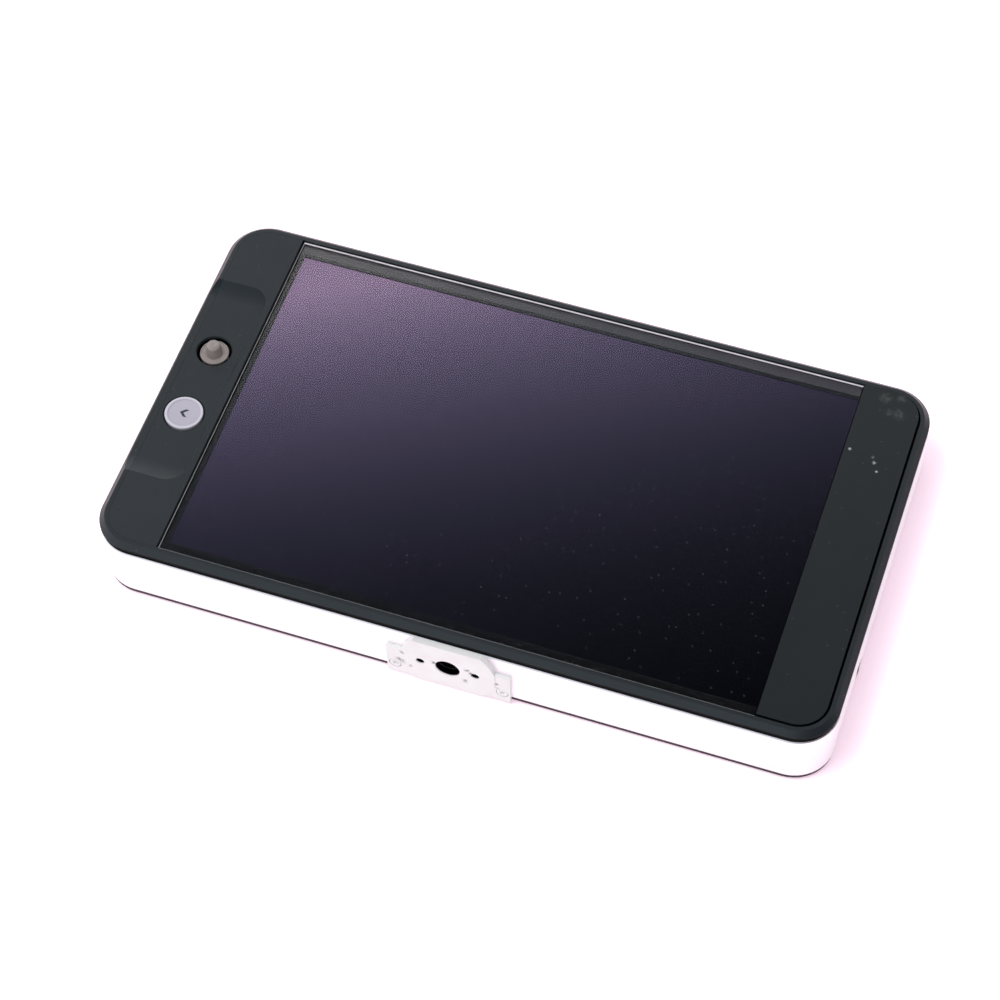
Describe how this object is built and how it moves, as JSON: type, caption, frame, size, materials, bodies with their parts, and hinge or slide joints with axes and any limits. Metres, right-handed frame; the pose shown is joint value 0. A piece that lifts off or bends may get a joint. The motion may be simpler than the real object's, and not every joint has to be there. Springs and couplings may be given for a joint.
{
  "type": "camera field monitor",
  "caption": "Flat on-camera field monitor with a bevelled screen, charcoal rim, silver frame, press button, tilting joystick, tripod thread and recessed battery bays.",
  "frame": {"origin": "middle of the footprint, on the surface that the feet stand on", "axes": "+X along the long side to the right as seen from the front, +Y towards the monitor's top edge, +Z out of the screen; the monitor lies on its back"},
  "size_m": [0.1898, 0.108, 0.0237],
  "materials": {
    "moulded_charcoal": "fine moulded texture, matt",
    "moulded_black": "moulded, matt",
    "clear_glass": "polished, coated against glare",
    "mask_ink": "printed ink",
    "display_cell": "dark display",
    "seal_rubber": "matt",
    "foot_rubber": "matt",
    "frame_aluminium": "bead blasted, clear anodised",
    "plate_steel": "fine ground",
    "screw_steel": "machined",
    "spring_steel": "bright",
    "white_sheet": "matt white",
    "clear_acrylic": "polished",
    "circuit_board": "solder mask",
    "chip_black": "moulded",
    "ribbon_film": "amber film",
    "socket_nickel": "nickel plated",
    "contact_brass": "gold plated",
    "button_grey": "moulded, satin",
    "stick_grey": "soft grip",
    "power_black": "moulded, satin",
    "latch_grey": "moulded"
  },
  "bodies": {
    "case": {"backlight_coils": "chip_black", "backlight_tray": "plate_steel", "battery_bay_left": "moulded_black", "battery_bay_right": "moulded_black", "battery_contacts_left": "contact_brass", "battery_contacts_right": "contact_brass", "board_screws": "screw_steel", "board_standoffs": "plate_steel", "card_slot": "socket_nickel", "control_board": "circuit_board", "control_board_screws": "screw_steel", "control_link": "chip_black", "control_panel": "moulded_charcoal", "cover_glass": "clear_glass", "dc_jack": "chip_black", "diffuser_sheet": "white_sheet", "front_rim": "moulded_charcoal", "front_seal": "seal_rubber", "glass_mask": "mask_ink", "hdmi_in": "socket_nickel", "hdmi_out": "socket_nickel", "headphone_jack": "chip_black", "heat_sink": "frame_aluminium", "joystick_base": "chip_black", "latch_keepers": "moulded_black", "latch_spring_left": "spring_steel", "latch_spring_right": "spring_steel", "lcd_cell": "display_cell", "led_strip": "white_sheet", "light_guide": "clear_acrylic", "main_board": "circuit_board", "main_frame": "frame_aluminium", "memory_chips": "chip_black", "mount_plate_screws": "screw_steel", "panel_frame": "white_sheet", "panel_ribbon": "ribbon_film", "power_switch": "chip_black", "rear_cover": "moulded_black", "rear_cover_screws": "screw_steel", "reflector_sheet": "white_sheet", "ribbon_socket": "chip_black", "right_panel": "moulded_charcoal", "rubber_feet": "foot_rubber", "shield_can": "plate_steel", "snap_domes": "spring_steel", "tray_screws": "screw_steel", "tripod_mount_plate": "plate_steel", "video_processor": "chip_black"},
    "button": {"back_button": "button_grey"},
    "stick_ring": {"gimbal_ring": "spring_steel"},
    "stick_tilt": {"stick_hub": "spring_steel"},
    "stick": {"stick_shaft": "spring_steel", "joystick_cap": "stick_grey"},
    "power": {"power_button": "power_black"},
    "latch_left": {"battery_latch_left": "latch_grey"},
    "latch_right": {"battery_latch_right": "latch_grey"}
  },
  "joints": [
    {"name": "back_button_press", "type": "slide", "parent": "case", "child": "button", "axis": [0, 0, -1], "range_m": [0, 0.0005], "stiffness_N_per_m": 400},
    {"name": "joystick_tilt_x", "type": "hinge", "parent": "case", "child": "stick_ring", "pos_m": [-0.0861, 0.01063, 0.0163], "axis": [1, 0, 0], "range_deg": [-7, 7], "stiffness_Nm_per_rad": 0.02},
    {"name": "joystick_tilt_y", "type": "hinge", "parent": "stick_ring", "child": "stick_tilt", "pos_m": [-0.0861, 0.01063, 0.0163], "axis": [0, 1, 0], "range_deg": [-7, 7], "stiffness_Nm_per_rad": 0.02},
    {"name": "joystick_press", "type": "slide", "parent": "stick_tilt", "child": "stick", "axis": [0, 0, -1], "range_m": [0, 0.00035], "stiffness_N_per_m": 400},
    {"name": "power_button_press", "type": "slide", "parent": "case", "child": "power", "axis": [0, -1, 0], "range_m": [0, 0.0006], "stiffness_N_per_m": 400},
    {"name": "battery_latch_left_slide", "type": "slide", "parent": "case", "child": "latch_left", "axis": [0, 1, 0], "range_m": [0, 0.002], "stiffness_N_per_m": 300, "deforming": ["latch_spring_left"]},
    {"name": "battery_latch_right_slide", "type": "slide", "parent": "case", "child": "latch_right", "axis": [0, 1, 0], "range_m": [0, 0.002], "stiffness_N_per_m": 300, "deforming": ["latch_spring_right"]}
  ]
}
